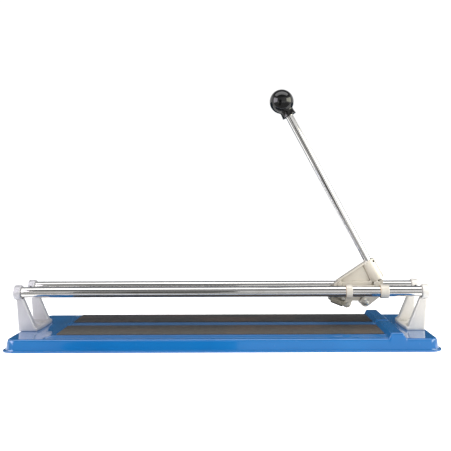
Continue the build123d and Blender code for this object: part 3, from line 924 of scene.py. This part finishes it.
def make_wheel():
    """Scoring wheel with relieved sides, and the nut of its axle."""
    side = [
        (2.05, 1.3), (2.25, 1.5), (3.3, 1.5), (3.42, 1.32), (4.2, 1.32), (4.35, 1.5), (4.7, 1.5),
        (5.6, 0.74), (6.34, 0.13), (6.5, 0.0),
    ]
    rings = [(r, -h) for r, h in side] + side[-2::-1]
    piece = turned("scoring_wheel", rings, (WHEEL_X, 0, WHEEL_Z), ALONG_Y, CARBIDE, 144, 20)
    stand_for(piece, "cutting_wheel", "wheel")
    piece = nut("axle_nut", 7.0, 1.98, 3.0, (WHEEL_X, 6.5, WHEEL_Z), ALONG_Y)
    stand_for(piece, "wheel_axle_nut", "lever")


def make_pivot():
    """Domed bolt, nut and thrust washers of the lever pivot."""
    radius = 3.0
    head = 5.5
    under_head = -14.0
    steps = 12
    bolt = []
    for i in range(steps + 1):
        angle = math.pi / 2 * i / steps
        bolt.append((head * math.sin(angle), -14.6 - 2.8 * math.cos(angle)))
    bolt += [(head, -14.2), (5.3, under_head), (radius, under_head), (radius, 12.5)]
    bolt += thread(radius, 12.8, 19.8, 1.0)
    bolt += [(2.4, 20.5), (0, 20.5)]
    piece = turned("domed_bolt", bolt, (PIVOT_X, 0, PIVOT_Z), ALONG_Y, ZINC)
    stand_for(piece, "pivot_bolt", "carriage")
    piece = nut("bolt_nut", 10.0, 2.98, 5.0, (PIVOT_X, 14, PIVOT_Z), ALONG_Y)
    stand_for(piece, "pivot_nut", "carriage")
    pair = []
    for y in (-9.0, 8.7):
        pair.append(washer("thrust_washer", 3.05, 6.2, 0.3, (PIVOT_X, y, PIVOT_Z), ALONG_Y, NYLON))
    stand_for(joined("thrust_washer_pair", pair), "thrust_washers", "carriage")


def make_foot_pin():
    """Cross pin of the breaker foot, riveted over at both ends."""
    end = [(0, 11.7), (1.5, 11.66), (2.3, 11.42), (2.68, 11.05), (2.68, 10.92), (2.0, 10.9)]
    rings = [(r, -h) for r, h in end] + end[::-1]
    piece = turned("riveted_pin", rings, (PIN_X, 0, PIN_Z), ALONG_Y, ZINC, 72)
    stand_for(piece, "foot_pin", "lever")


# ---------------------------------------------------------------- bushes and fixings
RAIL_Y = 30
RAIL_Z = 76
RAILS_MIDDLE = -2.5
FIXING_REACH = 286.0
CLAMP_REACH = 306.2


def make_bushes():
    """Sleeve bushes in the four rings of the carriage."""
    for name, node, low, high in (
        ("left_sleeves", "left_rail_bushes", 184.4, 194.0),
        ("right_sleeves", "right_rail_bushes", 236.0, 249.0),
    ):
        pair = []
        for y in (-RAIL_Y, RAIL_Y):
            pair.append(washer(name, 8.05, 9.0, high - low, (low, y, RAIL_Z), ALONG_X, BRONZE))
        stand_for(joined(name, pair), node, "carriage")


def make_bracket_hardware():
    """Washers and nuts under the deck, at the four fixings."""
    spots = []
    for reach in (-FIXING_REACH, FIXING_REACH):
        spots += [(RAILS_MIDDLE + reach, y) for y in (-13.0, 13.0)]
    rings = [washer("washer", 3.25, 7.0, 1.4, (x, y, 15.0), ALONG_Z, ZINC) for x, y in spots]
    stand_for(joined("fixing_washers", rings), "bracket_washers", "root")
    nuts = [nut("nut", 10.0, 2.98, 5.0, (x, y, 10.0), ALONG_Z, 30) for x, y in spots]
    stand_for(joined("fixing_nuts", nuts), "bracket_nuts", "root")


def make_grub_screws():
    """Grub screws that hold the rails in the bracket rings."""
    screws = []
    for reach in (-CLAMP_REACH, CLAMP_REACH):
        for side in (-1, 1):
            start = (RAILS_MIDDLE + reach, side * 21.95, RAIL_Z)
            screws.append(grub_screw("grub_screw", 2.0, 2.95, 2.0, start, (0, -side, 0)))
    stand_for(joined("rail_grub_screws", screws), "rail_set_screws", "root")


# ---------------------------------------------------------------- assembly
make_base()
make_pad("front_rubber", "front_pad")
make_pad("rear_rubber", "rear_pad")
make_rail("front_bar", "front_rail")
make_rail("rear_bar", "rear_rail")
# A casting is its piece, node, voxel in millimetres, smoothing passes, material, body and slot.
castings = (
    ("left_end_casting", "left_bracket", 0.7, 6, LEFT_ALLOY_PAINTED_SHADE, "root", "bracket_casting"),
    ("right_end_casting", "right_bracket", 0.7, 6, RIGHT_ALLOY_PAINTED_LIGHT, "root", "bracket_casting"),
    ("carriage_casting", "carriage_body", 0.55, 5, CARRIAGE_ALLOY, "carriage", "carriage_casting"),
    ("lever_arm_casting", "lever_casting", 0.5, 4, LEVER_ALLOY, "lever", "lever_casting"),
    ("pressing_foot", "breaker_foot", 0.35, 4, FOOT_ALLOY_PAINTED_SHADE, "foot", "foot_casting"),
)
for name, node, voxel, passes, material, body, slot in castings:
    cast_from(name, node, voxel * MM, passes, material, body)
make_rod()
make_knob()
make_socket_screw()
make_wheel()
make_pivot()
make_foot_pin()
make_bushes()
make_bracket_hardware()
make_grub_screws()

kept_nodes = {
    "bracket_screws": ZINC,
    "return_spring": SPRING_STEEL,
    "wheel_axle": ZINC,
    "foot_pads": FOOT_RUBBER,
}
for node, material in kept_nodes.items():
    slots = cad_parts[node].data.materials
    if len(slots):
        slots[0] = material
    else:
        slots.append(material)
